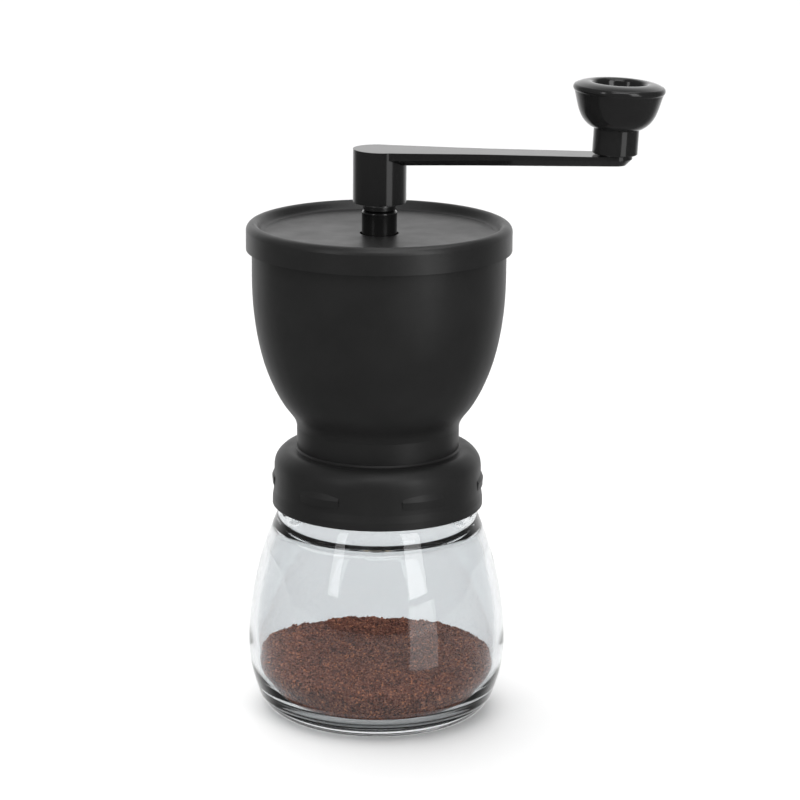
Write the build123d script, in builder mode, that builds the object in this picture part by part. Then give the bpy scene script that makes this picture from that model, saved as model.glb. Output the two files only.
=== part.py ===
"""Hand crank coffee grinder: glass jar, hopper with conical burr mill, lid and lift-off crank."""

import os
from math import cos, radians, sin, tan

from build123d import *

# ---------------------------------------------------------------- driving dimensions (mm)
# heights above the surface the jar stands on; the mill axis is Z
JAR_FLOOR_Z = 4.4            # inside bottom of the jar
JAR_NECK_R = 31.6            # outside of the threaded neck
JAR_MOUTH_R = 29.2           # inside of the neck
JAR_TOP_Z = 88.0
# inside of the jar as radius and height, from the shoulder down to the floor
JAR_INSIDE = [
    (JAR_MOUTH_R, 68.8),
    (29.8, 67.5),
    (31.6, 66.6),
    (33.6, 64.9),
    (35.3, 61.8),
    (37.5, 56.0),
    (40.2, 45.0),
    (41.9, 34.0),
    (42.3, 25.0),
    (41.3, 15.5),
    (37.3, 7.2),
    (31.0, JAR_FLOOR_Z),
]
JAR_LEAD = 4.0               # rise of the jar thread per turn
JAR_THREAD_R = 33.7          # crest of the glass thread
JAR_THREAD_Z = 78.6
JAR_THREAD_TURNS = 1.25
THREAD_START = 25.0          # where both jar threads begin, degrees from +X

COFFEE_TOP_Z = 21.4
COFFEE_FIT = 0.994           # the heap against the inside of the jar
COFFEE_GAP = 0.15

SEAL_THICK = 1.5
COLLAR_FOOT_Z = 74.9
COLLAR_BORE_R = 34.3
HOUSING_R = 28.3             # burr housing, hangs inside the jar's mouth
HOUSING_FOOT_Z = 80.0
POCKET_R = 21.7              # pocket for the burr ring
POCKET_TOP_Z = 97.2
THROAT_R = 17.5
BOWL_TOP_Z = 170.6
BOWL_R = 44.0
GRIP_COUNT = 6
GRIP_FIRST = -63.5           # middle of the first grip bar, degrees from +X
GRIP_OFFSET = 12.0           # centre of a bar's own curve, tighter than the collar's
GRIP_HALF = 18.5             # half the bar's sweep round that centre, degrees
RIB_COUNT = 3
RIB_THICK = 4.0

TOWER_R = 8.0
TOWER_BORE_R = 6.0
TOWER_FOOT_Z = 103.0
TOWER_TOP_Z = 119.0
BUSHING_LENGTH = 6.0
FLANGE_THICK = 1.0
FLANGE_R = 7.5

SHAFT_R = 4.0
SHAFT_RUN = 0.05             # radial running clearance
SHAFT_NECK_R = 3.5           # below the shoulder
SHAFT_FLATS = 5.6            # across the two drive flats
SHAFT_HEX = 6.2              # across flats of the crank end
SHOULDER_Z = 101.2
THREAD_TOP_Z = 79.0
SHAFT_FOOT_Z = 68.5
SHAFT_TOP_Z = 191.5
HEX_FOOT_Z = 179.4
CLIP_Z = 120.2
CLIP_THICK = 0.8
CLIP_GROOVE_R = 3.4
NUT_PITCH = 1.0
NUT_THREAD_R = 3.0           # crest of the shaft's thread
NUT_ROOT_R = 2.45

SLEEVE_R = 6.1
SLEEVE_FOOT_Z = 121.4

SPRING_FOOT_Z = 92.0
SPRING_TOP_Z = 100.0
SPRING_MEAN_R = 5.55
SPRING_WIRE_R = 0.6
SPRING_TURNS = 4.0

BURR_FOOT_Z = 77.5
BURR_TOP_Z = 97.0
BURR_BORE_R = 5.5
BURR_POCKET_R = 7.0          # room for the spring in the burr's top
RING_R = 21.5
RING_FOOT_Z = 80.0
RING_TOP_Z = 96.0
SCREW_CIRCLE_R = 25.0
SCREW_COUNT = 3

NUT_FOOT_Z = 71.0
NUT_TOP_Z = 76.3
NUT_HOLLOW = 3.2             # recess in the nut's underside
NUT_R = 14.5
NUT_INSERT_R = 4.8

CRANK_TOP_Z = 200.65
CRANK_REACH = 80.4           # shaft axis to knob axis
ARM_DROP = 0.9               # slope of the arm's top towards the knob, degrees
ARM_FOOT_Z = 195.9           # the arm's underside is level
ARM_UNDER = 2.15             # undercut along the lower edge
ARM_ROOT_R = 8.8             # half widths at the hub, past the neck and at the knob
ARM_NECK_R = 6.3
ARM_NECK_X = 40.0
ARM_END_R = 6.1
HUB_R = 9.25
HUB_FOOT_Z = 182.3
HUB_BORE_R = 5.0
HUB_BORE_TOP_Z = 193.2
KNOB_LEAN = 2.7              # the knob's screw leans outward, degrees
KNOB_SEAT = 0.25             # pad under the knob, above the arm
KNOB_STEM_R = 7.8
KNOB_R = 15.8
KNOB_PIN_R = 3.0

# ---------------------------------------------------------------- shared planes
arm_slope = radians(ARM_DROP)
ARM_PLANE = Plane(
    origin=(0, 0, CRANK_TOP_Z),
    x_dir=(cos(arm_slope), 0, -sin(arm_slope)),
    z_dir=(sin(arm_slope), 0, cos(arm_slope)),
)
knob_lean = radians(KNOB_LEAN)
KNOB_SEAT_Z = CRANK_TOP_Z - CRANK_REACH * tan(arm_slope) + KNOB_SEAT
KNOB_PLANE = Plane(
    origin=(CRANK_REACH, 0, KNOB_SEAT_Z),
    x_dir=(cos(knob_lean), 0, -sin(knob_lean)),
    z_dir=(sin(knob_lean), 0, cos(knob_lean)),
)
KNOB_SECTION = Plane(origin=KNOB_PLANE.origin, x_dir=KNOB_PLANE.x_dir, z_dir=(0, -1, 0))
KNOB_AXIS = Axis(KNOB_PLANE.origin, KNOB_PLANE.z_dir)

os.makedirs("parts", exist_ok=True)

# ---------------------------------------------------------------- glass jar
# one turn and a quarter of rounded ridge round the neck
with BuildPart() as jar_thread:
    with BuildLine() as jar_helix:
        Helix(
            pitch=JAR_LEAD,
            height=JAR_LEAD * JAR_THREAD_TURNS,
            radius=JAR_NECK_R,
            center=(0, 0, JAR_THREAD_Z),
        )
    with BuildSketch(Plane(origin=jar_helix.line @ 0, x_dir=(1, 0, 0), z_dir=jar_helix.line % 0)):
        with BuildLine():
            ridge = JAR_THREAD_R - JAR_NECK_R
            Polyline((-0.4, -1.0), (ridge, -0.45), (ridge, 0.45), (-0.4, 1.0), close=True)
        make_face()
    sweep(is_frenet=True)

with BuildPart() as glass_jar:
    with BuildSketch(Plane.XZ):
        with BuildLine():
            # outside, from the flat base round the heel and up to the lip
            Line((0, 0), (34.5, 0))
            ThreePointArc((34.5, 0), (39.2, 1.66), (41.8, 5.9))
            Spline(
                (41.8, 5.9),
                (44.4, 15.0),
                (45.4, 24.0),
                (44.75, 36.0),
                (42.7, 48.5),
                (39.3, 61.0),
                (35.0, 72.2),
                tangents=[(0.3, 1), (-0.42, 1)],
            )
            ThreePointArc((35.0, 72.2), (33.7, 74.5), (JAR_NECK_R, 76.0))
            Line((JAR_NECK_R, 76.0), (JAR_NECK_R, JAR_TOP_Z - 0.6))
            Line((JAR_NECK_R, JAR_TOP_Z - 0.6), (JAR_NECK_R - 0.6, JAR_TOP_Z))
            Line((JAR_NECK_R - 0.6, JAR_TOP_Z), (JAR_MOUTH_R + 0.6, JAR_TOP_Z))
            Line((JAR_MOUTH_R + 0.6, JAR_TOP_Z), (JAR_MOUTH_R, JAR_TOP_Z - 0.6))
            # inside, back down to the floor
            Line((JAR_MOUTH_R, JAR_TOP_Z - 0.6), JAR_INSIDE[0])
            Spline(*JAR_INSIDE)
            Line((31.0, JAR_FLOOR_Z), (0, JAR_FLOOR_Z))
            Line((0, JAR_FLOOR_Z), (0, 0))
        make_face()
    revolve(axis=Axis.Z)
    add(jar_thread.part, rotation=(0, 0, THREAD_START))
glass_jar.part.label = "glass_jar"
export_step(glass_jar.part, "parts/glass_jar.step")

# ---------------------------------------------------------------- ground coffee
# a low heap that follows the inside of the jar, a hair clear of the glass
with BuildPart() as ground_coffee:
    with BuildSketch(Plane.XZ):
        with BuildLine():
            Spline(*[(r * COFFEE_FIT, z + COFFEE_GAP) for r, z in JAR_INSIDE])
            floor_z = JAR_FLOOR_Z + COFFEE_GAP
            mouth_z = JAR_INSIDE[0][1] + COFFEE_GAP
            Line((31.0 * COFFEE_FIT, floor_z), (0, floor_z))
            Line((0, floor_z), (0, mouth_z))
            Line((0, mouth_z), (JAR_MOUTH_R * COFFEE_FIT, mouth_z))
        make_face()
        with BuildLine():
            Spline((50.0, 17.9), (40.0, 19.0), (28.0, 20.2), (14.0, 21.1), (0, COFFEE_TOP_Z))
            Line((0, COFFEE_TOP_Z), (0, 0))
            Line((0, 0), (50.0, 0))
            Line((50.0, 0), (50.0, 17.9))
        make_face(mode=Mode.INTERSECT)
    revolve(axis=Axis.Z)
ground_coffee.part.label = "ground_coffee"
export_step(ground_coffee.part, "parts/ground_coffee.step")

# ---------------------------------------------------------------- jar seal
with BuildPart() as jar_seal:
    with BuildSketch(Plane.XY.offset(JAR_TOP_Z)):
        Circle(COLLAR_BORE_R - 0.3)
        Circle(HOUSING_R + 0.3, mode=Mode.SUBTRACT)
    extrude(amount=SEAL_THICK)
jar_seal.part.label = "jar_seal"
export_step(jar_seal.part, "parts/jar_seal.step")

# ---------------------------------------------------------------- hopper
# inward ridge in the collar, half a lead below the glass thread
with BuildPart() as collar_thread:
    with BuildLine() as collar_helix:
        Helix(
            pitch=JAR_LEAD,
            height=JAR_LEAD,
            radius=COLLAR_BORE_R,
            center=(0, 0, JAR_THREAD_Z - JAR_LEAD / 2),
        )
    with BuildSketch(Plane(origin=collar_helix.line @ 0, x_dir=(1, 0, 0), z_dir=collar_helix.line % 0)):
        with BuildLine():
            crest = JAR_NECK_R + 0.45 - COLLAR_BORE_R
            Polyline((0.4, -0.95), (crest, -0.4), (crest, 0.4), (0.4, 0.95), close=True)
        make_face()
    sweep(is_frenet=True)

# low lens-shaped bar that rises out of the collar and fades back into it
grip_turn = radians(GRIP_HALF)
GRIP_START = Plane(
    origin=(GRIP_OFFSET, 0, 0),
    x_dir=(cos(grip_turn), -sin(grip_turn), 0),
    z_dir=(-sin(grip_turn), -cos(grip_turn), 0),
)
with BuildPart() as grip_bar:
    with BuildSketch(GRIP_START):
        with BuildLine():
            Polyline(
                (23.8, 81.8),
                (24.95, 82.1),
                (25.15, 84.7),
                (24.3, 86.9),
                (23.8, 86.9),
                close=True,
            )
        make_face()
    revolve(axis=Axis((GRIP_OFFSET, 0, 0), (0, 0, 1)), revolution_arc=2 * GRIP_HALF)

with BuildPart() as rib:
    with BuildSketch(Plane.XZ):
        with BuildLine():
            Polyline((TOWER_R - 1.0, 103.5), (24.5, 103.5), (30.8, 110.0), (TOWER_R - 1.0, 113.5), close=True)
        make_face()
    extrude(amount=RIB_THICK / 2, both=True)

with BuildPart() as hopper:
    with BuildSketch(Plane.XZ):
        with BuildLine():
            ledge = JAR_TOP_Z + SEAL_THICK
            # collar, from its bore over the foot and up the outside
            Line((HOUSING_R, ledge), (COLLAR_BORE_R, ledge))
            Line((COLLAR_BORE_R, ledge), (COLLAR_BORE_R, COLLAR_FOOT_Z))
            Line((COLLAR_BORE_R, COLLAR_FOOT_Z), (36.6, COLLAR_FOOT_Z))
            Line((36.6, COLLAR_FOOT_Z), (36.95, COLLAR_FOOT_Z + 0.4))
            Line((36.95, COLLAR_FOOT_Z + 0.4), (36.9, 77.6))
            Line((36.9, 77.6), (36.5, 80.2))
            Line((36.5, 80.2), (36.3, 88.0))
            Spline((36.3, 88.0), (35.4, 92.3), (32.7, 94.9), (28.9, 95.2), tangents=[(0, 1), (-1, 0)])
            # neck and bowl
            Line((28.9, 95.2), (28.4, 95.8))
            Line((28.4, 95.8), (28.4, 103.2))
            Spline(
                (28.4, 103.2),
                (29.2, 105.9),
                (32.0, 109.8),
                (36.05, 116.5),
                (39.6, 125.2),
                (42.1, 135.2),
                (43.5, 145.3),
                (BOWL_R, 157.0),
            )
            Line((BOWL_R, 157.0), (BOWL_R, BOWL_TOP_Z - 0.4))
            Line((BOWL_R, BOWL_TOP_Z - 0.4), (BOWL_R - 0.4, BOWL_TOP_Z))
            Line((BOWL_R - 0.4, BOWL_TOP_Z), (41.9, BOWL_TOP_Z))
            Line((41.9, BOWL_TOP_Z), (41.5, BOWL_TOP_Z - 0.4))
            # inside of the bowl down to the throat
            Line((41.5, BOWL_TOP_Z - 0.4), (41.5, 157.0))
            Spline(
                (41.5, 157.0),
                (41.1, 145.7),
                (39.7, 135.8),
                (37.3, 126.3),
                (33.9, 117.9),
                (29.6, 110.6),
                (25.0, 104.6),
                (19.4, 100.0),
                (THROAT_R, 99.2),
                tangents=[(0, -1), (-1, -0.25)],
            )
            Line((THROAT_R, 99.2), (THROAT_R, POCKET_TOP_Z))
            # pocket for the burr ring and the housing round it
            Line((THROAT_R, POCKET_TOP_Z), (POCKET_R, POCKET_TOP_Z))
            Line((POCKET_R, POCKET_TOP_Z), (POCKET_R, HOUSING_FOOT_Z))
            Line((POCKET_R, HOUSING_FOOT_Z), (HOUSING_R, HOUSING_FOOT_Z))
            Line((HOUSING_R, HOUSING_FOOT_Z), (HOUSING_R, ledge))
        make_face()
    revolve(axis=Axis.Z)
    with BuildSketch(Plane.XY.offset(TOWER_FOOT_Z)):
        Circle(TOWER_R)
    extrude(amount=TOWER_TOP_Z - TOWER_FOOT_Z)
    with PolarLocations(0, RIB_COUNT, start_angle=30):
        add(rib.part)
    with PolarLocations(0, GRIP_COUNT, start_angle=GRIP_FIRST):
        add(grip_bar.part)
    add(collar_thread.part, rotation=(0, 0, THREAD_START))
    with BuildSketch(Plane.XY.offset(TOWER_FOOT_Z)):
        Circle(TOWER_BORE_R)
    extrude(amount=TOWER_TOP_Z - TOWER_FOOT_Z, mode=Mode.SUBTRACT)
    with BuildSketch(Plane.XY.offset(HOUSING_FOOT_Z)):
        with PolarLocations(SCREW_CIRCLE_R, SCREW_COUNT):
            Circle(1.3)
    extrude(amount=9.0, mode=Mode.SUBTRACT)
hopper.part.label = "hopper"
export_step(hopper.part, "parts/hopper.step")

# ---------------------------------------------------------------- shaft bushings
with BuildPart() as lower_bushing:
    with BuildSketch(Plane.XY.offset(TOWER_FOOT_Z - FLANGE_THICK)):
        Circle(FLANGE_R)
    extrude(amount=FLANGE_THICK)
    with BuildSketch(Plane.XY.offset(TOWER_FOOT_Z)):
        Circle(TOWER_BORE_R)
    extrude(amount=BUSHING_LENGTH)
    with BuildSketch(Plane.XY.offset(TOWER_FOOT_Z - FLANGE_THICK)):
        Circle(SHAFT_R + SHAFT_RUN)
    extrude(amount=FLANGE_THICK + BUSHING_LENGTH, mode=Mode.SUBTRACT)
lower_bushing.part.label = "lower_bushing"
export_step(lower_bushing.part, "parts/lower_bushing.step")

with BuildPart() as upper_bushing:
    with BuildSketch(Plane.XY.offset(TOWER_TOP_Z - BUSHING_LENGTH)):
        Circle(TOWER_BORE_R)
    extrude(amount=BUSHING_LENGTH)
    with BuildSketch(Plane.XY.offset(TOWER_TOP_Z)):
        Circle(FLANGE_R)
    extrude(amount=FLANGE_THICK)
    with BuildSketch(Plane.XY.offset(TOWER_TOP_Z - BUSHING_LENGTH)):
        Circle(SHAFT_R + SHAFT_RUN)
    extrude(amount=FLANGE_THICK + BUSHING_LENGTH, mode=Mode.SUBTRACT)
upper_bushing.part.label = "upper_bushing"
export_step(upper_bushing.part, "parts/upper_bushing.step")

# ---------------------------------------------------------------- fixed half of the mill
with BuildPart() as burr_cushion:
    with BuildSketch(Plane.XY.offset(RING_TOP_Z)):
        Circle(RING_R)
        Circle(THROAT_R, mode=Mode.SUBTRACT)
    extrude(amount=POCKET_TOP_Z - RING_TOP_Z)
burr_cushion.part.label = "burr_cushion"
export_step(burr_cushion.part, "parts/burr_cushion.step")

# slanted V groove, cut round the inside of the ring
with BuildPart() as ring_groove:
    with BuildSketch(Plane(origin=(18.9, 0, RING_FOOT_Z - 1), z_dir=(-0.22, 0.22, 1))):
        with Locations((-0.55, 0)):
            RegularPolygon(1.9, 3)
    extrude(amount=22.0)

with BuildPart() as outer_burr:
    with BuildSketch(Plane.XZ):
        with BuildLine():
            Polyline(
                (18.9, RING_FOOT_Z),
                (RING_R - 0.6, RING_FOOT_Z),
                (RING_R, RING_FOOT_Z + 0.6),
                (RING_R, RING_TOP_Z - 0.6),
                (RING_R - 0.6, RING_TOP_Z),
                (16.6, RING_TOP_Z),
                (15.8, RING_TOP_Z - 3.0),
                close=True,
            )
        make_face()
    revolve(axis=Axis.Z)
    with PolarLocations(0, 24):
        add(ring_groove.part, mode=Mode.SUBTRACT)
outer_burr.part.label = "outer_burr"
export_step(outer_burr.part, "parts/outer_burr.step")

with BuildPart() as burr_retainer:
    with BuildSketch(Plane.XY.offset(HOUSING_FOOT_Z - 2.0)):
        Circle(HOUSING_R - 0.5)
        Circle(19.6, mode=Mode.SUBTRACT)
        with PolarLocations(SCREW_CIRCLE_R, SCREW_COUNT):
            Circle(1.5, mode=Mode.SUBTRACT)
    extrude(amount=2.0)
burr_retainer.part.label = "burr_retainer"
export_step(burr_retainer.part, "parts/burr_retainer.step")

with BuildPart() as burr_screws:
    with BuildSketch(Plane.XY.offset(HOUSING_FOOT_Z - 2.0)):
        with PolarLocations(SCREW_CIRCLE_R, SCREW_COUNT):
            Circle(1.25)
    extrude(amount=10.0)
    with BuildSketch(Plane.XY.offset(HOUSING_FOOT_Z - 3.8)):
        with PolarLocations(SCREW_CIRCLE_R, SCREW_COUNT):
            Circle(2.6)
    extrude(amount=1.8)
    with BuildSketch(Plane.XY.offset(HOUSING_FOOT_Z - 3.8)):
        with PolarLocations(SCREW_CIRCLE_R, SCREW_COUNT):
            Rectangle(3.0, 0.7)
            Rectangle(0.7, 3.0)
    extrude(amount=1.0, mode=Mode.SUBTRACT)
burr_screws.part.label = "burr_screws"
export_step(burr_screws.part, "parts/burr_screws.step")

# ---------------------------------------------------------------- lid
with BuildPart() as lid:
    with BuildSketch(Plane.XZ):
        with BuildLine():
            # skirt and rolled rim
            Line((44.5, 165.9), (46.0, 165.9))
            Line((46.0, 165.9), (46.0, 172.7))
            ThreePointArc((46.0, 172.7), (45.1, 174.4), (43.3, 175.05))
            Spline((43.3, 175.05), (41.9, 174.2), (40.9, 172.7), (39.9, 172.05))
            # dished plate and centre hole
            Spline((39.9, 172.05), (25.0, 171.75), (6.75, 171.4))
            Line((6.75, 171.4), (6.75, 167.4))
            Line((6.75, 167.4), (8.6, 167.4))
            Line((8.6, 167.4), (8.9, 169.4))
            Line((8.9, 169.4), (39.7, 169.9))
            # locating lip inside the bowl, seat on the bowl's rim
            Line((39.7, 169.9), (39.9, 166.8))
            Line((39.9, 166.8), (41.1, 166.8))
            Line((41.1, 166.8), (41.1, BOWL_TOP_Z))
            Line((41.1, BOWL_TOP_Z), (44.35, BOWL_TOP_Z))
            Line((44.35, BOWL_TOP_Z), (44.5, 165.9))
        make_face()
    revolve(axis=Axis.Z)
lid.part.label = "lid"
export_step(lid.part, "parts/lid.step")

# ---------------------------------------------------------------- drive shaft and what turns with it
with BuildPart() as shaft_thread:
    with BuildLine() as shaft_helix:
        Helix(
            pitch=NUT_PITCH,
            height=THREAD_TOP_Z - SHAFT_FOOT_Z - 2.0,
            radius=NUT_ROOT_R,
            center=(0, 0, SHAFT_FOOT_Z + 1.0),
        )
    with BuildSketch(Plane(origin=shaft_helix.line @ 0, x_dir=(1, 0, 0), z_dir=shaft_helix.line % 0)):
        with BuildLine():
            depth = NUT_THREAD_R - NUT_ROOT_R
            Polyline((-0.2, -0.42), (depth, -0.08), (depth, 0.08), (-0.2, 0.42), close=True)
        make_face()
    sweep(is_frenet=True)

with BuildPart() as drive_shaft:
    with BuildSketch(Plane.XZ):
        with BuildLine():
            Polyline(
                (0, SHAFT_FOOT_Z),
                (NUT_ROOT_R - 0.6, SHAFT_FOOT_Z),
                (NUT_ROOT_R, SHAFT_FOOT_Z + 0.6),
                (NUT_ROOT_R, THREAD_TOP_Z),
                (SHAFT_NECK_R, THREAD_TOP_Z + 0.5),
                (SHAFT_NECK_R, SHOULDER_Z),
                (SHAFT_R, SHOULDER_Z),
                (SHAFT_R, CLIP_Z),
                (CLIP_GROOVE_R, CLIP_Z),
                (CLIP_GROOVE_R, CLIP_Z + 1.0),
                (SHAFT_R, CLIP_Z + 1.0),
                (SHAFT_R, SHAFT_TOP_Z - 0.8),
                (SHAFT_R - 0.8, SHAFT_TOP_Z),
                (0, SHAFT_TOP_Z),
                close=True,
            )
        make_face()
    revolve(axis=Axis.Z)
    # hexagon for the crank
    with BuildSketch(Plane.XY.offset(HEX_FOOT_Z)):
        Circle(SHAFT_R + 1)
        RegularPolygon(SHAFT_HEX / 2, 6, major_radius=False, mode=Mode.SUBTRACT)
    extrude(amount=SHAFT_TOP_Z - HEX_FOOT_Z, mode=Mode.SUBTRACT)
    # two drive flats for the inner burr
    with BuildSketch(Plane.XY.offset(THREAD_TOP_Z)):
        Circle(SHAFT_R + 1)
        Rectangle(2 * SHAFT_R + 4, SHAFT_FLATS, mode=Mode.SUBTRACT)
    extrude(amount=SHOULDER_Z - THREAD_TOP_Z, mode=Mode.SUBTRACT)
    add(shaft_thread.part)
drive_shaft.part.label = "drive_shaft"
export_step(drive_shaft.part, "parts/drive_shaft.step")

with BuildPart() as shaft_sleeve:
    with BuildSketch(Plane.XY.offset(SLEEVE_FOOT_Z)):
        Circle(SLEEVE_R)
        Circle(SHAFT_R, mode=Mode.SUBTRACT)
    extrude(amount=HEX_FOOT_Z - SLEEVE_FOOT_Z)
    fillet(shaft_sleeve.edges().group_by(Axis.Z)[-1].sort_by(SortBy.RADIUS)[-1], radius=0.8)
shaft_sleeve.part.label = "shaft_sleeve"
export_step(shaft_sleeve.part, "parts/shaft_sleeve.step")

with BuildPart() as shaft_clip:
    with BuildSketch(Plane.XY.offset(CLIP_Z + 0.1)):
        Circle(6.0)
        Circle(CLIP_GROOVE_R + 0.05, mode=Mode.SUBTRACT)
        with Locations((5.0, 0)):
            Rectangle(10.0, 5.6, mode=Mode.SUBTRACT)
    extrude(amount=CLIP_THICK)
shaft_clip.part.label = "shaft_clip"
export_step(shaft_clip.part, "parts/shaft_clip.step")

with BuildPart() as thrust_washer:
    with BuildSketch(Plane.XY.offset(SHOULDER_Z)):
        Circle(6.6)
        Circle(SHAFT_R + SHAFT_RUN, mode=Mode.SUBTRACT)
    extrude(amount=0.7)
thrust_washer.part.label = "thrust_washer"
export_step(thrust_washer.part, "parts/thrust_washer.step")

with BuildPart() as spring_seat:
    with BuildSketch(Plane.XY.offset(SPRING_TOP_Z)):
        Circle(6.4)
        Circle(SHAFT_NECK_R + 0.05, mode=Mode.SUBTRACT)
    extrude(amount=SHOULDER_Z - SPRING_TOP_Z)
spring_seat.part.label = "spring_seat"
export_step(spring_seat.part, "parts/spring_seat.step")

with BuildPart() as burr_spring:
    with BuildLine() as spring_helix:
        Helix(
            pitch=(SPRING_TOP_Z - SPRING_FOOT_Z - 2 * SPRING_WIRE_R) / SPRING_TURNS,
            height=SPRING_TOP_Z - SPRING_FOOT_Z - 2 * SPRING_WIRE_R,
            radius=SPRING_MEAN_R,
            center=(0, 0, SPRING_FOOT_Z + SPRING_WIRE_R),
        )
    with BuildSketch(Plane(origin=spring_helix.line @ 0, z_dir=spring_helix.line % 0)):
        Circle(SPRING_WIRE_R * 0.98)
    sweep(is_frenet=True)
burr_spring.part.label = "burr_spring"
export_step(burr_spring.part, "parts/burr_spring.step")

# ---------------------------------------------------------------- inner burr
# long slanted groove down the cone
with BuildPart() as burr_groove:
    with BuildSketch(Plane(origin=(19.6, 0, BURR_FOOT_Z - 1), z_dir=(-0.5, 0.34, 1))):
        with Locations((0.45, 0)):
            RegularPolygon(2.3, 3, rotation=180)
    extrude(amount=30.0)

with BuildPart() as inner_burr:
    with BuildSketch(Plane.XZ):
        with BuildLine():
            Polyline(
                (BURR_BORE_R, BURR_FOOT_Z),
                (18.0, BURR_FOOT_Z),
                (18.6, BURR_FOOT_Z + 0.6),
                (17.4, 82.5),
                (BURR_POCKET_R + 1.5, BURR_TOP_Z),
                (BURR_POCKET_R, BURR_TOP_Z),
                (BURR_POCKET_R, SPRING_FOOT_Z),
                (BURR_BORE_R, SPRING_FOOT_Z),
                close=True,
            )
        make_face()
    revolve(axis=Axis.Z)
    with PolarLocations(0, 12):
        add(burr_groove.part, mode=Mode.SUBTRACT)
inner_burr.part.label = "inner_burr"
export_step(inner_burr.part, "parts/inner_burr.step")

with BuildPart() as burr_insert:
    with BuildSketch(Plane.XY.offset(BURR_FOOT_Z + 2.5)):
        Circle(BURR_BORE_R)
    extrude(amount=SPRING_FOOT_Z - BURR_FOOT_Z - 2.5)
    with BuildSketch(Plane.XY.offset(BURR_FOOT_Z + 2.5)):
        Circle(SHAFT_NECK_R + 0.06)
        Rectangle(2 * SHAFT_R, SHAFT_FLATS + 0.12, mode=Mode.INTERSECT)
    extrude(amount=SPRING_FOOT_Z - BURR_FOOT_Z - 2.5, mode=Mode.SUBTRACT)
burr_insert.part.label = "burr_insert"
export_step(burr_insert.part, "parts/burr_insert.step")

with BuildPart() as lock_plate:
    with BuildSketch(Plane.XY.offset(NUT_TOP_Z)):
        Circle(9.0)
        Circle(NUT_THREAD_R + 0.3, mode=Mode.SUBTRACT)
        with PolarLocations(9.2, 12):
            Circle(0.9, mode=Mode.SUBTRACT)
    extrude(amount=BURR_FOOT_Z - NUT_TOP_Z)
lock_plate.part.label = "lock_plate"
export_step(lock_plate.part, "parts/lock_plate.step")

# ---------------------------------------------------------------- adjusting nut
with BuildPart() as adjust_nut:
    with BuildSketch(Plane.XY.offset(NUT_FOOT_Z)):
        Circle(NUT_R)
        with PolarLocations(NUT_R + 1.6, 8):
            Circle(3.4, mode=Mode.SUBTRACT)
    extrude(amount=NUT_TOP_Z - NUT_FOOT_Z)
    with BuildSketch(Plane.XY.offset(NUT_FOOT_Z)):
        Circle(NUT_INSERT_R)
    extrude(amount=NUT_TOP_Z - NUT_FOOT_Z, mode=Mode.SUBTRACT)
    with BuildSketch(Plane.XY.offset(NUT_FOOT_Z)):
        Circle(NUT_R - 4.6)
        Circle(NUT_INSERT_R + 1.8, mode=Mode.SUBTRACT)
    extrude(amount=NUT_HOLLOW, mode=Mode.SUBTRACT)
adjust_nut.part.label = "adjust_nut"
export_step(adjust_nut.part, "parts/adjust_nut.step")

with BuildPart() as nut_insert:
    with BuildSketch(Plane.XY.offset(NUT_FOOT_Z)):
        Circle(NUT_INSERT_R)
        Circle(NUT_THREAD_R + 0.06, mode=Mode.SUBTRACT)
    extrude(amount=NUT_TOP_Z - NUT_FOOT_Z)
nut_insert.part.label = "nut_insert"
export_step(nut_insert.part, "parts/nut_insert.step")

# ---------------------------------------------------------------- crank
with BuildPart() as crank_arm:
    with BuildSketch(Plane.XY.offset(ARM_FOOT_Z)):
        with BuildLine():
            Spline((0, ARM_ROOT_R), (ARM_NECK_X, ARM_NECK_R), tangents=[(1, -0.02), (1, -0.01)])
            Line((ARM_NECK_X, ARM_NECK_R), (CRANK_REACH, ARM_END_R))
            ThreePointArc((CRANK_REACH, ARM_END_R), (CRANK_REACH + ARM_END_R, 0), (CRANK_REACH, -ARM_END_R))
            Line((CRANK_REACH, -ARM_END_R), (ARM_NECK_X, -ARM_NECK_R))
            Spline((ARM_NECK_X, -ARM_NECK_R), (0, -ARM_ROOT_R), tangents=[(-1, -0.01), (-1, -0.02)])
            Line((0, -ARM_ROOT_R), (0, ARM_ROOT_R))
        make_face()
    extrude(amount=CRANK_TOP_Z + 1.0 - ARM_FOOT_Z)
    # the underside is drawn in all round, except where it runs into the hub
    under = crank_arm.faces().sort_by(Axis.Z)[0]
    chamfer(under.edges().sort_by(Axis.X)[1:], length=ARM_UNDER)
    with BuildSketch(Plane.XY.offset(HUB_FOOT_Z)):
        Circle(HUB_R)
    extrude(amount=CRANK_TOP_Z + 1.0 - HUB_FOOT_Z)
    # one sloping cut makes the top of hub and arm
    with BuildSketch(ARM_PLANE):
        Rectangle(3 * CRANK_REACH, 4 * HUB_R)
    extrude(amount=6.0, mode=Mode.SUBTRACT)
    # pad square to the knob's screw
    with BuildSketch(KNOB_PLANE):
        Circle(ARM_END_R - 0.3)
    extrude(amount=-1.4)
    with BuildSketch(Plane.XY.offset(HUB_FOOT_Z)):
        Circle(HUB_BORE_R)
    extrude(amount=HUB_BORE_TOP_Z - HUB_FOOT_Z, mode=Mode.SUBTRACT)
    with BuildSketch(KNOB_PLANE):
        Circle(2.5)
    extrude(amount=-8.0, mode=Mode.SUBTRACT)
crank_arm.part.label = "crank_arm"
export_step(crank_arm.part, "parts/crank_arm.step")

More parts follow.
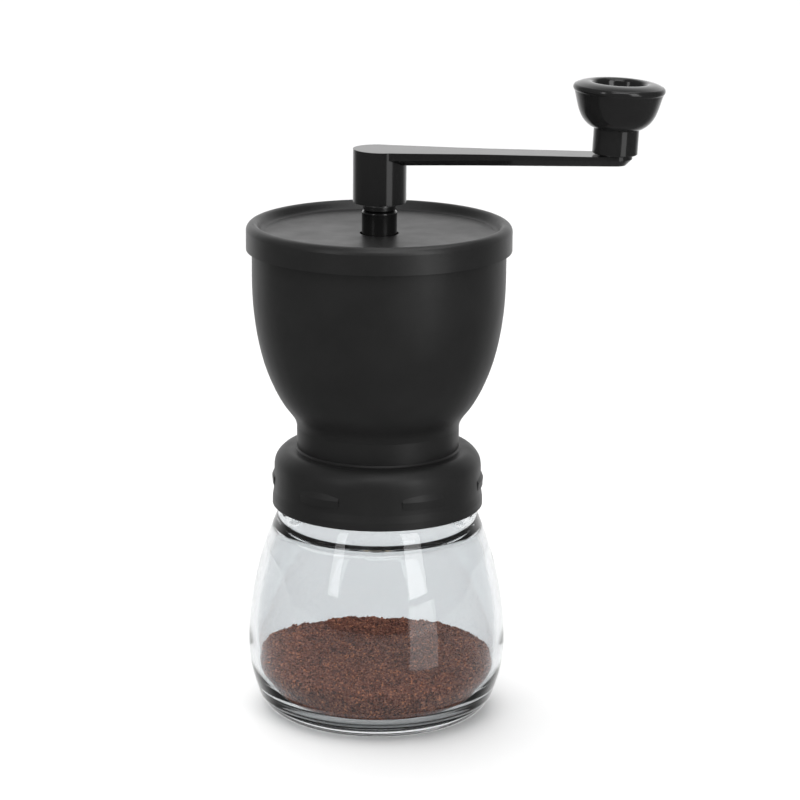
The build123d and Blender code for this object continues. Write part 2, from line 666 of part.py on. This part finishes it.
with BuildPart() as hub_insert:
    with BuildSketch(Plane.XZ):
        with BuildLine():
            Polyline(
                (0, HEX_FOOT_Z),
                (5.3, HEX_FOOT_Z),
                (5.7, HEX_FOOT_Z + 0.4),
                (5.7, HUB_FOOT_Z - 0.9),
                (5.4, HUB_FOOT_Z),
                (HUB_BORE_R, HUB_FOOT_Z),
                (HUB_BORE_R, HUB_BORE_TOP_Z),
                (0, HUB_BORE_TOP_Z),
                close=True,
            )
        make_face()
    revolve(axis=Axis.Z)
    with BuildSketch(Plane.XY.offset(HEX_FOOT_Z)):
        RegularPolygon(SHAFT_HEX / 2 + 0.08, 6, major_radius=False)
    extrude(amount=HUB_BORE_TOP_Z - HEX_FOOT_Z, mode=Mode.SUBTRACT)
hub_insert.part.label = "hub_insert"
export_step(hub_insert.part, "parts/hub_insert.step")

# ---------------------------------------------------------------- knob
KNOB_FLOOR = 19.2            # floor of the recess in the knob's top
with BuildPart() as knob_screw:
    with BuildSketch(KNOB_SECTION):
        with BuildLine():
            Line((0, -3.4), (2.5, -3.4))
            Line((2.5, -3.4), (2.5, 0))
            Line((2.5, 0), (KNOB_PIN_R, 0))
            Line((KNOB_PIN_R, 0), (KNOB_PIN_R, KNOB_FLOOR + 0.3))
            Line((KNOB_PIN_R, KNOB_FLOOR + 0.3), (5.2, KNOB_FLOOR + 0.3))
            Line((5.2, KNOB_FLOOR + 0.3), (5.2, KNOB_FLOOR + 0.9))
            ThreePointArc((5.2, KNOB_FLOOR + 0.9), (3.2, KNOB_FLOOR + 2.3), (0, KNOB_FLOOR + 2.8))
            Line((0, KNOB_FLOOR + 2.8), (0, -3.4))
        make_face()
    revolve(axis=KNOB_AXIS)
    with BuildSketch(KNOB_PLANE.offset(KNOB_FLOOR + 1.2)):
        Rectangle(5.0, 1.0)
        Rectangle(1.0, 5.0)
    extrude(amount=3.0, mode=Mode.SUBTRACT)
knob_screw.part.label = "knob_screw"
export_step(knob_screw.part, "parts/knob_screw.step")

with BuildPart() as knob_washer:
    with BuildSketch(KNOB_PLANE):
        Circle(5.0)
        Circle(KNOB_PIN_R + 0.1, mode=Mode.SUBTRACT)
    extrude(amount=0.6)
knob_washer.part.label = "knob_washer"
export_step(knob_washer.part, "parts/knob_washer.step")

with BuildPart() as knob:
    with BuildSketch(KNOB_SECTION):
        with BuildLine():
            Line((KNOB_PIN_R + 0.08, 0.6), (5.4, 0.6))
            Line((5.4, 0.6), (5.4, 0.15))
            Line((5.4, 0.15), (KNOB_STEM_R - 0.3, 0.15))
            Line((KNOB_STEM_R - 0.3, 0.15), (KNOB_STEM_R, 0.45))
            Line((KNOB_STEM_R, 0.45), (KNOB_STEM_R, 8.8))
            Spline((KNOB_STEM_R, 8.8), (10.0, 10.0), (12.2, 12.4), (13.9, 16.4), (15.3, 21.4))
            # rolled rim and recess
            ThreePointArc((15.3, 21.4), (KNOB_R, 22.6), (15.2, 23.6))
            Spline((15.2, 23.6), (13.3, 24.4), (11.2, 24.8), (9.6, 24.6), (8.8, 23.6))
            Line((8.8, 23.6), (7.6, KNOB_FLOOR))
            Line((7.6, KNOB_FLOOR), (KNOB_PIN_R + 0.08, KNOB_FLOOR))
            Line((KNOB_PIN_R + 0.08, KNOB_FLOOR), (KNOB_PIN_R + 0.08, 0.6))
        make_face()
    revolve(axis=KNOB_AXIS)
knob.part.label = "knob"
export_step(knob.part, "parts/knob.step")
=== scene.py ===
"""Looks of the hand crank coffee grinder: glass jar of coffee, satin black hopper, gloss black crank."""

import math
import random

import bpy
import numpy as np
from mathutils import Matrix, Vector, noise


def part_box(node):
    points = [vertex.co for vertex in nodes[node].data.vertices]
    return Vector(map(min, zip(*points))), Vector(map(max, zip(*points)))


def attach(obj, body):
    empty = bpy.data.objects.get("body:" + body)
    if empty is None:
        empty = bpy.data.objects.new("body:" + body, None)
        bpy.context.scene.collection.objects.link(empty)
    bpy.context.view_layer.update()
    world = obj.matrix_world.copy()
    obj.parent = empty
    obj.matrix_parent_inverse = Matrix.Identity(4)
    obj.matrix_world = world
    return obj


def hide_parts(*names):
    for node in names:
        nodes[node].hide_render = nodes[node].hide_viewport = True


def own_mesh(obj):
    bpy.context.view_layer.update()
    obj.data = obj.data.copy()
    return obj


MM = 0.001
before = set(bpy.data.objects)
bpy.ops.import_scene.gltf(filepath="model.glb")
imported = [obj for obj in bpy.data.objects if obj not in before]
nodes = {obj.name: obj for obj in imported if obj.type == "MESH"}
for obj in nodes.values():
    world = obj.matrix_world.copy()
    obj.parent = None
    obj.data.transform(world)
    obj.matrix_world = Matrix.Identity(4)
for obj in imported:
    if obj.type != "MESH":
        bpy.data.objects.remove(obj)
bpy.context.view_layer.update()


# ---------------------------------------------------------------- mesh tools
def smooth_curve(points, steps=8):
    """Points along a Catmull-Rom curve through the given (r, z) points."""
    pts = [2 * np.array(points[0]) - np.array(points[1])]
    pts += [np.array(p, float) for p in points]
    pts.append(2 * np.array(points[-1]) - np.array(points[-2]))
    out = []
    for a, b, c, d in zip(pts, pts[1:], pts[2:], pts[3:]):
        for i in range(steps):
            t = i / steps
            bend = (2 * a - 5 * b + 4 * c - d) * t**2
            twist = (3 * b - a - 3 * c + d) * t**3
            out.append(tuple(0.5 * (2 * b + (c - a) * t + bend + twist)))
    out.append(tuple(points[-1]))
    return out


def arc(centre, radius, start, end, steps=8):
    """Points (r, z) on an arc, angles in degrees."""
    turns = np.radians(np.linspace(start, end, steps + 1))
    return [(centre[0] + radius * math.cos(t), centre[1] + radius * math.sin(t)) for t in turns]


def mesh_object(name, verts, faces, material, smooth_angle=40.0):
    mesh = bpy.data.meshes.new(name)
    mesh.from_pydata([tuple(v) for v in verts], [], faces)
    mesh.validate()
    mesh.shade_smooth()
    mesh.set_sharp_from_angle(angle=math.radians(smooth_angle))
    obj = bpy.data.objects.new(name, mesh)
    bpy.context.scene.collection.objects.link(obj)
    obj.data.materials.append(material)
    return obj


def lathe(outline, segments, warp=None):
    """Vertices and faces of a solid turned about Z, from an outline in mm that starts and ends on the axis."""
    verts = [Vector((0, 0, outline[0][1] * MM))]
    rows = outline[1:-1]
    for r, z in rows:
        for s in range(segments):
            turn = 2 * math.pi * s / segments
            radius, height = (r, z) if warp is None else warp(turn, r, z)
            verts.append(Vector((radius * math.cos(turn), radius * math.sin(turn), height)) * MM)
    verts.append(Vector((0, 0, outline[-1][1] * MM)))
    last = len(verts) - 1
    faces = []
    for s in range(segments):
        n = (s + 1) % segments
        faces.append((0, 1 + n, 1 + s))
        for k in range(len(rows) - 1):
            a, b = 1 + k * segments, 1 + (k + 1) * segments
            faces.append((a + s, a + n, b + n, b + s))
        top = 1 + (len(rows) - 1) * segments
        faces.append((top + s, top + n, last))
    return verts, faces


# ---------------------------------------------------------------- material tools
def new_material(name):
    mat = bpy.data.materials.new(name)
    mat.use_nodes = True
    tree = mat.node_tree
    return mat, tree, tree.nodes["Principled BSDF"], tree.nodes["Material Output"]


def object_coords(tree, stretch=(1, 1, 1)):
    coords = tree.nodes.new("ShaderNodeTexCoord")
    mapping = tree.nodes.new("ShaderNodeMapping")
    mapping.inputs["Scale"].default_value = stretch
    tree.links.new(coords.outputs["Object"], mapping.inputs["Vector"])
    return mapping.outputs["Vector"]


def noise_value(tree, coords, scale, detail=4.0, roughness=0.55):
    tex = tree.nodes.new("ShaderNodeTexNoise")
    tex.inputs["Scale"].default_value = scale
    tex.inputs["Detail"].default_value = detail
    tex.inputs["Roughness"].default_value = roughness
    tree.links.new(coords, tex.inputs["Vector"])
    return tex.outputs["Fac"]


def ramp(tree, value, stops):
    """A colour ramp; stops are (position, colour), where a colour is a number for grey or three numbers."""
    node = tree.nodes.new("ShaderNodeValToRGB")
    elements = node.color_ramp.elements
    while len(elements) < len(stops):
        elements.new(0.5)
    for element, (position, colour) in zip(elements, stops):
        element.position = position
        rgb = (colour,) * 3 if isinstance(colour, (int, float)) else colour
        element.color = (*rgb, 1)
    tree.links.new(value, node.inputs["Fac"])
    return node.outputs["Color"]


def bump(tree, height, strength, distance, under=None):
    node = tree.nodes.new("ShaderNodeBump")
    node.inputs["Strength"].default_value = strength
    node.inputs["Distance"].default_value = distance
    tree.links.new(height, node.inputs["Height"])
    if under is not None:
        tree.links.new(under, node.inputs["Normal"])
    return node.outputs["Normal"]


def moulded_plastic(name, dark, light, rough, grain, grain_depth, specular=0.5):
    """Plastic with a slightly cloudy colour, uneven sheen and a fine moulded grain."""
    mat, tree, shader, _ = new_material(name)
    coords = object_coords(tree)
    cloud = noise_value(tree, coords, 55.0, detail=5.0)
    tree.links.new(ramp(tree, cloud, [(0.3, dark), (0.7, light)]), shader.inputs["Base Color"])
    wipe = noise_value(tree, object_coords(tree, (1, 1, 0.35)), 85.0, detail=6.0)
    tree.links.new(ramp(tree, wipe, [(0.25, rough[0]), (0.75, rough[1])]), shader.inputs["Roughness"])
    fine = noise_value(tree, coords, grain, detail=2.0)
    tree.links.new(bump(tree, fine, grain_depth, 0.0002), shader.inputs["Normal"])
    shader.inputs["Specular IOR Level"].default_value = specular
    return mat


def metal(name, dark, light, rough, stretch, scale):
    """Turned metal: fine marks along the direction with the small stretch."""
    mat, tree, shader, _ = new_material(name)
    marks = noise_value(tree, object_coords(tree, stretch), scale, detail=6.0)
    tree.links.new(ramp(tree, marks, [(0.3, dark), (0.7, light)]), shader.inputs["Base Color"])
    tree.links.new(ramp(tree, marks, [(0.3, rough[1]), (0.7, rough[0])]), shader.inputs["Roughness"])
    tree.links.new(bump(tree, marks, 0.15, 0.00005), shader.inputs["Normal"])
    shader.inputs["Metallic"].default_value = 1.0
    return mat


# the ring's bright top band is partly polished steel and partly a painted highlight
POLISH_AND_HIGHLIGHT_START = 0.0002  # bright edge begins this far above the ring's foot, in metres


def ring_steel():
    """Dark turned steel with a narrow bright band where it meets the hub: partly polished steel, partly a painted
    highlight.
    """
    mat, tree, shader, _ = new_material("ring_steel")
    split = tree.nodes.new("ShaderNodeSeparateXYZ")
    tree.links.new(object_coords(tree), split.inputs["Vector"])
    height = tree.nodes.new("ShaderNodeMapRange")
    height.inputs["From Min"].default_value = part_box("hub_insert")[0].z + POLISH_AND_HIGHLIGHT_START
    height.inputs["From Max"].default_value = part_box("crank_arm")[0].z
    tree.links.new(split.outputs["Z"], height.inputs["Value"])
    # painted highlight: the base colour jumps from dark to bright steel near the top, partly polish, partly
    # painted highlight
    polish_and_painted_highlight = [(0.62, 0.10), (0.70, 0.80)]
    tree.links.new(ramp(tree, height.outputs["Result"], polish_and_painted_highlight), shader.inputs["Base Color"])
    marks = noise_value(tree, object_coords(tree, (1, 1, 14)), 260.0, detail=6.0)
    tree.links.new(ramp(tree, marks, [(0.3, 0.30), (0.7, 0.16)]), shader.inputs["Roughness"])
    tree.links.new(bump(tree, marks, 0.15, 0.00005), shader.inputs["Normal"])
    shader.inputs["Metallic"].default_value = 1.0
    return mat


def clear_glass():
    """Pressed clear glass: faintly wavy, a few small marks; lamps shine through to what is inside."""
    mat, tree, shader, output = new_material("clear_glass")
    coords = object_coords(tree)
    shader.inputs["Base Color"].default_value = (0.775, 0.795, 0.807, 1)
    shader.inputs["Transmission Weight"].default_value = 1.0
    shader.inputs["IOR"].default_value = 1.5
    marks = noise_value(tree, coords, 900.0, detail=3.0)
    tree.links.new(ramp(tree, marks, [(0.70, 0.0), (0.80, 0.12)]), shader.inputs["Roughness"])
    wave = noise_value(tree, coords, 45.0, detail=2.0)
    tree.links.new(bump(tree, wave, 0.12, 0.0006), shader.inputs["Normal"])
    clear = tree.nodes.new("ShaderNodeBsdfTransparent")
    clear.inputs["Color"].default_value = (0.86, 0.88, 0.885, 1)
    path = tree.nodes.new("ShaderNodeLightPath")
    mix = tree.nodes.new("ShaderNodeMixShader")
    tree.links.new(path.outputs["Is Shadow Ray"], mix.inputs["Fac"])
    tree.links.new(shader.outputs["BSDF"], mix.inputs[1])
    tree.links.new(clear.outputs["BSDF"], mix.inputs[2])
    tree.links.new(mix.outputs["Shader"], output.inputs["Surface"])
    return mat


CRUMB_SCALE = 1700.0  # crumbs per metre, a little over half a millimetre each
CRUMB_DEPTH = 0.0006
PATCH_SHARE = 0.55  # how strongly broad patches shift the crumbs' colour
PATCH_MIDDLE = 0.27


def coffee_grounds():
    """Ground coffee: dark and red-brown crumbs about half a millimetre across, in uneven patches."""
    mat, tree, shader, _ = new_material("coffee_bed")
    coords = object_coords(tree)
    cells = tree.nodes.new("ShaderNodeTexVoronoi")
    cells.inputs["Scale"].default_value = CRUMB_SCALE
    tree.links.new(coords, cells.inputs["Vector"])
    tint = tree.nodes.new("ShaderNodeSeparateColor")
    tree.links.new(cells.outputs["Color"], tint.inputs["Color"])
    patches = tree.nodes.new("ShaderNodeMath")
    patches.operation = "MULTIPLY_ADD"
    patches.inputs[1].default_value = PATCH_SHARE
    tree.links.new(noise_value(tree, coords, 170.0, detail=3.0), patches.inputs[0])
    shade = tree.nodes.new("ShaderNodeMath")
    shade.operation = "SUBTRACT"
    shade.inputs[1].default_value = PATCH_MIDDLE
    tree.links.new(tint.outputs["Red"], patches.inputs[2])
    tree.links.new(patches.outputs["Value"], shade.inputs[0])
    crumbs = ramp(
        tree,
        shade.outputs["Value"],
        [
            (0.0, (0.045, 0.013, 0.008)),
            (0.35, (0.145, 0.042, 0.025)),
            (0.75, (0.275, 0.094, 0.055)),
            (0.93, (0.400, 0.155, 0.095)),
            (1.0, (0.620, 0.215, 0.095)),
        ],
    )
    tree.links.new(crumbs, shader.inputs["Base Color"])
    shader.inputs["Roughness"].default_value = 0.85
    shader.inputs["Specular IOR Level"].default_value = 0.25
    fine = noise_value(tree, coords, 2200.0, detail=5.0, roughness=0.7)
    low = bump(tree, fine, 0.7, CRUMB_DEPTH)
    crumbly = bump(tree, cells.outputs["Distance"], 0.8, CRUMB_DEPTH, under=low)
    tree.links.new(crumbly, shader.inputs["Normal"])
    return mat


# name, dark and light tone, roughness from and to, grain, grain's depth
satin_black = moulded_plastic("satin_black", 0.0115, 0.0155, (0.38, 0.50), 3200.0, 0.10, specular=0.33)
lid_black = moulded_plastic("lid_black", 0.0085, 0.0125, (0.34, 0.46), 3200.0, 0.10)
gloss_black = moulded_plastic("gloss_black", 0.0085, 0.0125, (0.09, 0.17), 420.0, 0.03, specular=0.44)
bearing_plastic = moulded_plastic("bearing_plastic", 0.62, 0.70, (0.4, 0.55), 2600.0, 0.1)
silicone = moulded_plastic("silicone", 0.30, 0.38, (0.55, 0.7), 2600.0, 0.12, specular=0.35)
ceramic = moulded_plastic("white_ceramic", 0.70, 0.82, (0.35, 0.6), 1800.0, 0.2)
turned_steel = metal("turned_steel", 0.42, 0.62, (0.18, 0.38), (1, 1, 14), 260.0)
bright_steel = metal("bright_steel", 0.62, 0.78, (0.08, 0.2), (1, 1, 14), 260.0)
spring_steel = metal("spring_steel", 0.36, 0.55, (0.25, 0.45), (6, 6, 6), 300.0)
brass = metal("brass", (0.50, 0.34, 0.12), (0.72, 0.52, 0.22), (0.2, 0.4), (1, 1, 14), 260.0)
glass = clear_glass()
coffee_bed = coffee_grounds()

FINISHES = {
    "hopper": satin_black,
    "lid": lid_black,
    "burr_retainer": satin_black,
    "jar_seal": silicone,
    "burr_cushion": silicone,
    "upper_bushing": bearing_plastic,
    "lower_bushing": bearing_plastic,
    "thrust_washer": bearing_plastic,
    "knob_washer": bearing_plastic,
    "outer_burr": ceramic,
    "inner_burr": ceramic,
    "burr_screws": turned_steel,
    "drive_shaft": turned_steel,
    "shaft_clip": turned_steel,
    "spring_seat": turned_steel,
    "burr_insert": turned_steel,
    "lock_plate": turned_steel,
    "nut_insert": brass,
    "hub_insert": ring_steel(),
    "knob_screw": bright_steel,
    "shaft_sleeve": gloss_black,
    "adjust_nut": gloss_black,
    "crank_arm": gloss_black,
    "knob": gloss_black,
}
for node, finish in FINISHES.items():
    nodes[node].data.materials.clear()
    nodes[node].data.materials.append(finish)

# ---------------------------------------------------------------- glass jar
JAR_FLOOR = 4.4
NECK_R = 31.6
MOUTH_R = 29.2
RIDGE_OUT = 2.1  # how far the screw ridge stands out from the neck
RIDGE_HALF = 1.0
RIDGE_SLOPE = 0.55
RIDGE_FOOT = 78.6
RIDGE_LEAD = 4.0
RIDGE_TURNS = 1.25
RIDGE_FADE = 0.04  # share of a turn over which the ridge rises at either end
RIDGE_START = math.radians(25)
NECK_STEP = 0.25
LIP_R = 1.1
jar_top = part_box("glass_jar")[1].z / MM
INSIDE = smooth_curve(
    [
        (MOUTH_R, 68.8),
        (29.8, 67.5),
        (31.6, 66.6),
        (33.6, 64.9),
        (35.3, 61.8),
        (37.5, 56.0),
        (40.2, 45.0),
        (41.9, 34.0),
        (42.3, 25.0),
        (41.3, 15.5),
        (37.3, 7.2),
        (31.0, JAR_FLOOR),
    ],
    steps=10,
)


def ridge(turn, r, z):
    """The rounded screw ridge round the outside of the neck."""
    if abs(r - NECK_R) > 0.01:
        return r, z
    for lap in (0, 1):
        turns = ((turn - RIDGE_START) % (2 * math.pi)) / (2 * math.pi) + lap
        if turns < RIDGE_TURNS:
            off = abs(z - RIDGE_FOOT - RIDGE_LEAD * turns)
            ends = min(1.0, turns / RIDGE_FADE, (RIDGE_TURNS - turns) / RIDGE_FADE)
            slope = min(1.0, max(0.0, (RIDGE_HALF - off) / RIDGE_SLOPE))
            r = max(r, NECK_R + RIDGE_OUT * slope * ends)
    return r, z


def build_jar():
    """Jar turned from one outline: foot, outside, neck with its screw ridge, lip and inside, back to the axis."""
    outline = [(0, 0), (20, 0), (33, 0)] + arc((33.9, 7.2), 7.2, -90, -14, 12)
    outline += smooth_curve(
        [
            (41.8, 5.9),
            (44.4, 15.0),
            (45.4, 24.0),
            (44.75, 36.0),
            (42.7, 48.5),
            (39.3, 61.0),
            (35.0, 72.2),
        ],
        steps=10,
    )
    outline += [(33.9, 74.3), (32.8, 75.5), (NECK_R + 0.02, 76.0)]
    outline += [(NECK_R, z) for z in np.arange(76.4, jar_top - 1.2, NECK_STEP)]
    outline += arc((NECK_R - LIP_R, jar_top - LIP_R), LIP_R, 0, 90, 6)
    outline += arc((MOUTH_R + LIP_R, jar_top - LIP_R), LIP_R, 90, 180, 6)
    outline += INSIDE
    outline += [(20, JAR_FLOOR), (0, JAR_FLOOR)]
    verts, faces = lathe(outline, 256, warp=ridge)
    jar = mesh_object("jar_glass", verts, faces, glass, smooth_angle=50)
    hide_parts("glass_jar")
    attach(jar, "jar")


# ---------------------------------------------------------------- coffee in the jar
GLASS_GAP = 0.28  # between the coffee and the glass
BED_GAP = GLASS_GAP + 0.1  # the same for the smooth bed, whose side is roughened after
HEAP_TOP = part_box("ground_coffee")[1].z / MM
HEAP_R = 41.0
HEAP_DROP = 2.6  # the heap's mean level under the highest crumb
BANK_LEFT = 2.4
BANK_RIGHT = 0.7
# how high, how close together, and at which layer of the noise the heap's unevenness lies
HEAP_NOISE = ((0.8, 0.10, 0), (0.95, 0.32, 5), (0.65, 0.95, 9))
LUMP_SEED = Vector((3.1, 7.7, 1.3))
WALL = [(r, z) for r, z in reversed(INSIDE) if z < 60]
WALL_HEIGHTS = [z for _, z in WALL]
WALL_RADII = [r for r, _ in WALL]


def wall_radius(z):
    """Inside radius of the jar's lower half at a height, in mm."""
    return float(np.interp(z, WALL_HEIGHTS, WALL_RADII))


def heap_height(x, y):
    """Height of the loose coffee's surface at a place in the jar, in mm."""
    height = HEAP_TOP - HEAP_DROP - 0.4 * (math.hypot(x, y) / 42.0) ** 2
    height += (BANK_LEFT if x < 0 else BANK_RIGHT) * (x / HEAP_R) ** 2
    for amount, closeness, layer in HEAP_NOISE:
        height += amount * noise.noise(Vector((x, y, layer)) * closeness + LUMP_SEED)
    return min(height, HEAP_TOP - 0.2)


def build_coffee():
    """The heap as one closed piece: its outline runs along the glass (z = 0) and then over the top (z = 1)."""
    segments = 300
    side = [i / 14 for i in range(15)]
    top = [1 - (i + 1) / 100 for i in range(99)]
    outline = [(0, 0), (0.45, 0)] + [(1 + s, 0) for s in side] + [(t, 1) for t in top] + [(0, 1)]
    foot = JAR_FLOOR + 0.15

    def place(turn, r, z):
        x, y = math.cos(turn), math.sin(turn)
        if z == 0 and r < 1:
            return r * 31.0, foot
        rim_r = wall_radius(20.0) - GLASS_GAP  # near the rim, whose height isn't known yet
        rim_z = heap_height(rim_r * x, rim_r * y)
        if z == 0:
            height = foot + (rim_z - foot) * (r - 1) ** 1.6
            rough = 0.10 * noise.noise(Vector((x * 90, y * 90, height * 1.6)))
            return wall_radius(height) - BED_GAP + rough, height
        rim_r = wall_radius(rim_z) - BED_GAP
        return r * rim_r, heap_height(r * rim_r * x, r * rim_r * y)

    verts, faces = lathe(outline, segments, warp=place)
    verts[0].z = foot * MM
    verts[-1].z = heap_height(0, 0) * MM
    bed = mesh_object("coffee_heap", verts, faces, coffee_bed, smooth_angle=180)
    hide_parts("ground_coffee")
    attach(bed, "jar")


CRUMB_COUNT = 9000
CRUMB_SIZES = (0.2, 0.25, 0.3, 0.38, 0.5)
CRUMB_FIELD_R = 41.2


def crumb_solid():
    """Corners and faces of a twenty-sided solid of radius one."""
    corners = [Vector((0, 0, 1))]
    for start, height in ((0, 0.45), (36, -0.45)):
        for k in range(5):
            turn = math.radians(start + 72 * k)
            corners.append(Vector((0.9 * math.cos(turn), 0.9 * math.sin(turn), height)).normalized())
    corners.append(Vector((0, 0, -1)))
    faces = [(0, i, i % 5 + 1) for i in range(1, 6)]
    faces += [(i, i + 5, i % 5 + 1) for i in range(1, 6)]
    faces += [(i % 5 + 1, i + 5, i % 5 + 6) for i in range(1, 6)]
    faces += [(11, i % 5 + 6, i + 5) for i in range(1, 6)]
    return corners, faces


def build_grains():
    """Loose crumbs lying on the heap, all in one mesh."""
    rng = random.Random(11)
    corners, corner_faces = crumb_solid()
    verts, faces = [], []
    for _ in range(CRUMB_COUNT):
        turn = rng.uniform(0, 2 * math.pi)
        r = CRUMB_FIELD_R * math.sqrt(rng.random())
        x, y = r * math.cos(turn), r * math.sin(turn)
        size = rng.choice(CRUMB_SIZES) * rng.uniform(0.8, 1.15)
        z = heap_height(x, y) + size * 0.25
        if math.hypot(x, y) + size > wall_radius(z) - GLASS_GAP:
            continue
        angle = rng.uniform(0, 6.28)
        spin = Matrix.Rotation(angle, 3, Vector([rng.gauss(0, 1) for _ in range(3)]))
        shape = Vector((rng.uniform(0.8, 1.15), rng.uniform(0.7, 1.05), rng.uniform(0.6, 0.95)))
        base = len(verts)
        for corner in corners:
            p = spin @ (corner * shape) * size * rng.uniform(0.8, 1.15)
            verts.append((Vector((x, y, z)) + p) * MM)
        faces += [tuple(base + i for i in face) for face in corner_faces]
    grains = mesh_object("coffee_grains", verts, faces, coffee_bed, smooth_angle=25)
    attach(grains, "jar")


# ---------------------------------------------------------------- spring on the shaft
WIRE_R = 0.6 * MM
COIL_TURNS = 4


def build_spring():
    """Coil spring of round wire, with closed ends."""
    low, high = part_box("burr_spring")
    wire = WIRE_R
    mean = high.x - wire
    ring, steps = 12, 40
    verts, faces = [], []
    count = COIL_TURNS * steps
    for i in range(count + 1):
        t = i / count
        a = 2 * math.pi * COIL_TURNS * t
        out = Vector((math.cos(a), math.sin(a), 0))
        centre = out * mean + Vector((0, 0, low.z + wire + (high.z - low.z - 2 * wire) * t))
        for k in range(ring):
            b = 2 * math.pi * k / ring
            verts.append(centre + (out * math.cos(b) + Vector((0, 0, 1)) * math.sin(b)) * wire)
    for i in range(count):
        for k in range(ring):
            n = (k + 1) % ring
            faces.append((i * ring + k, i * ring + n, (i + 1) * ring + n, (i + 1) * ring + k))
    faces.append(tuple(range(ring)))
    faces.append(tuple(count * ring + k for k in reversed(range(ring))))
    spring = mesh_object("spring_wire", verts, faces, spring_steel)
    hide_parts("burr_spring")
    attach(spring, "shaft")
    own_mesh(spring)


build_jar()
build_coffee()
build_grains()
build_spring()


# ---------------------------------------------------------------- studio
def build_floor():
    """Plain pale floor that the glossy parts don't mirror."""
    size = 9.0
    verts = [(-size, -size, 0), (size, -size, 0), (size, size, 0), (-size, size, 0)]
    mat, tree, shader, _ = new_material("floor_white")
    shader.inputs["Base Color"].default_value = (0.765, 0.765, 0.765, 1)
    shader.inputs["Roughness"].default_value = 0.6
    floor = mesh_object("floor", verts, [(0, 1, 2, 3)], mat)
    floor.visible_glossy = False


def build_world():
    """White behind, darker towards the front so that black parts stay black."""
    world = bpy.data.worlds.new("studio")
    bpy.context.scene.world = world
    world.use_nodes = True
    tree = world.node_tree
    coords = tree.nodes.new("ShaderNodeTexCoord")
    split = tree.nodes.new("ShaderNodeSeparateXYZ")
    tree.links.new(coords.outputs["Generated"], split.inputs["Vector"])
    spread = tree.nodes.new("ShaderNodeMapRange")
    spread.interpolation_type = "SMOOTHSTEP"
    spread.inputs["From Min"].default_value = 0.40
    spread.inputs["From Max"].default_value = 0.93
    spread.inputs["To Min"].default_value = 0.20
    spread.inputs["To Max"].default_value = 1.06
    tree.links.new(split.outputs["Y"], spread.inputs["Value"])
    tree.links.new(spread.outputs["Result"], tree.nodes["Background"].inputs["Strength"])
    tree.nodes["Background"].inputs["Color"].default_value = (1, 1, 1, 1)


def softbox(name, place, aim, width, height, power):
    light = bpy.data.lights.new(name, "AREA")
    light.shape = "RECTANGLE"
    light.size, light.size_y = width, height
    light.energy = power
    obj = bpy.data.objects.new(name, light)
    bpy.context.scene.collection.objects.link(obj)
    obj.location = place
    obj.rotation_euler = (Vector(aim) - Vector(place)).to_track_quat("-Z", "Y").to_euler()


def build_lights():
    """A broad soft key from above and softboxes either side, in front and on top."""
    sun = bpy.data.lights.new("key", "SUN")
    sun.energy = 3.35
    sun.angle = math.radians(66)
    key = bpy.data.objects.new("key", sun)
    bpy.context.scene.collection.objects.link(key)
    key.rotation_euler = Vector((0.22, -0.16, -1.0)).to_track_quat("-Z", "Y").to_euler()
    key.visible_glossy = False
    softbox("right_box", (0.68, -0.81, 0.62), (0, 0, 0.15), 0.38, 0.85, 3.4)
    softbox("right_low_box", (0.75, -0.82, -0.05), (0, 0, 0.19), 0.50, 0.45, 1.1)
    softbox("left_box", (-0.72, -0.82, 0.62), (0, 0, 0.15), 0.22, 0.85, 1.5)
    softbox("front_box", (0.10, -0.60, 1.00), (0, 0, 0.10), 0.60, 0.25, 1.7)
    softbox("top_box", (0.25, 0.02, 1.10), (0, 0, 0.15), 0.80, 0.55, 2.0)


def build_camera():
    """Long lens a little over a metre away, looking slightly down, as the object is seen."""
    camera = bpy.data.cameras.new("camera")
    camera.lens = 135.0
    camera.sensor_width = 36.0
    camera.clip_end = 50.0
    obj = bpy.data.objects.new("camera", camera)
    bpy.context.scene.collection.objects.link(obj)
    tilt = Matrix.Rotation(math.radians(90 - 14.39), 4, "X")
    roll = Matrix.Rotation(math.radians(0.505), 4, "Z")
    obj.matrix_world = Matrix.Translation((0.00764, -1.0163, 0.3727)) @ tilt @ roll
    bpy.context.scene.camera = obj


build_floor()
build_world()
build_lights()
build_camera()
bpy.context.scene.view_settings.view_transform = "Standard"
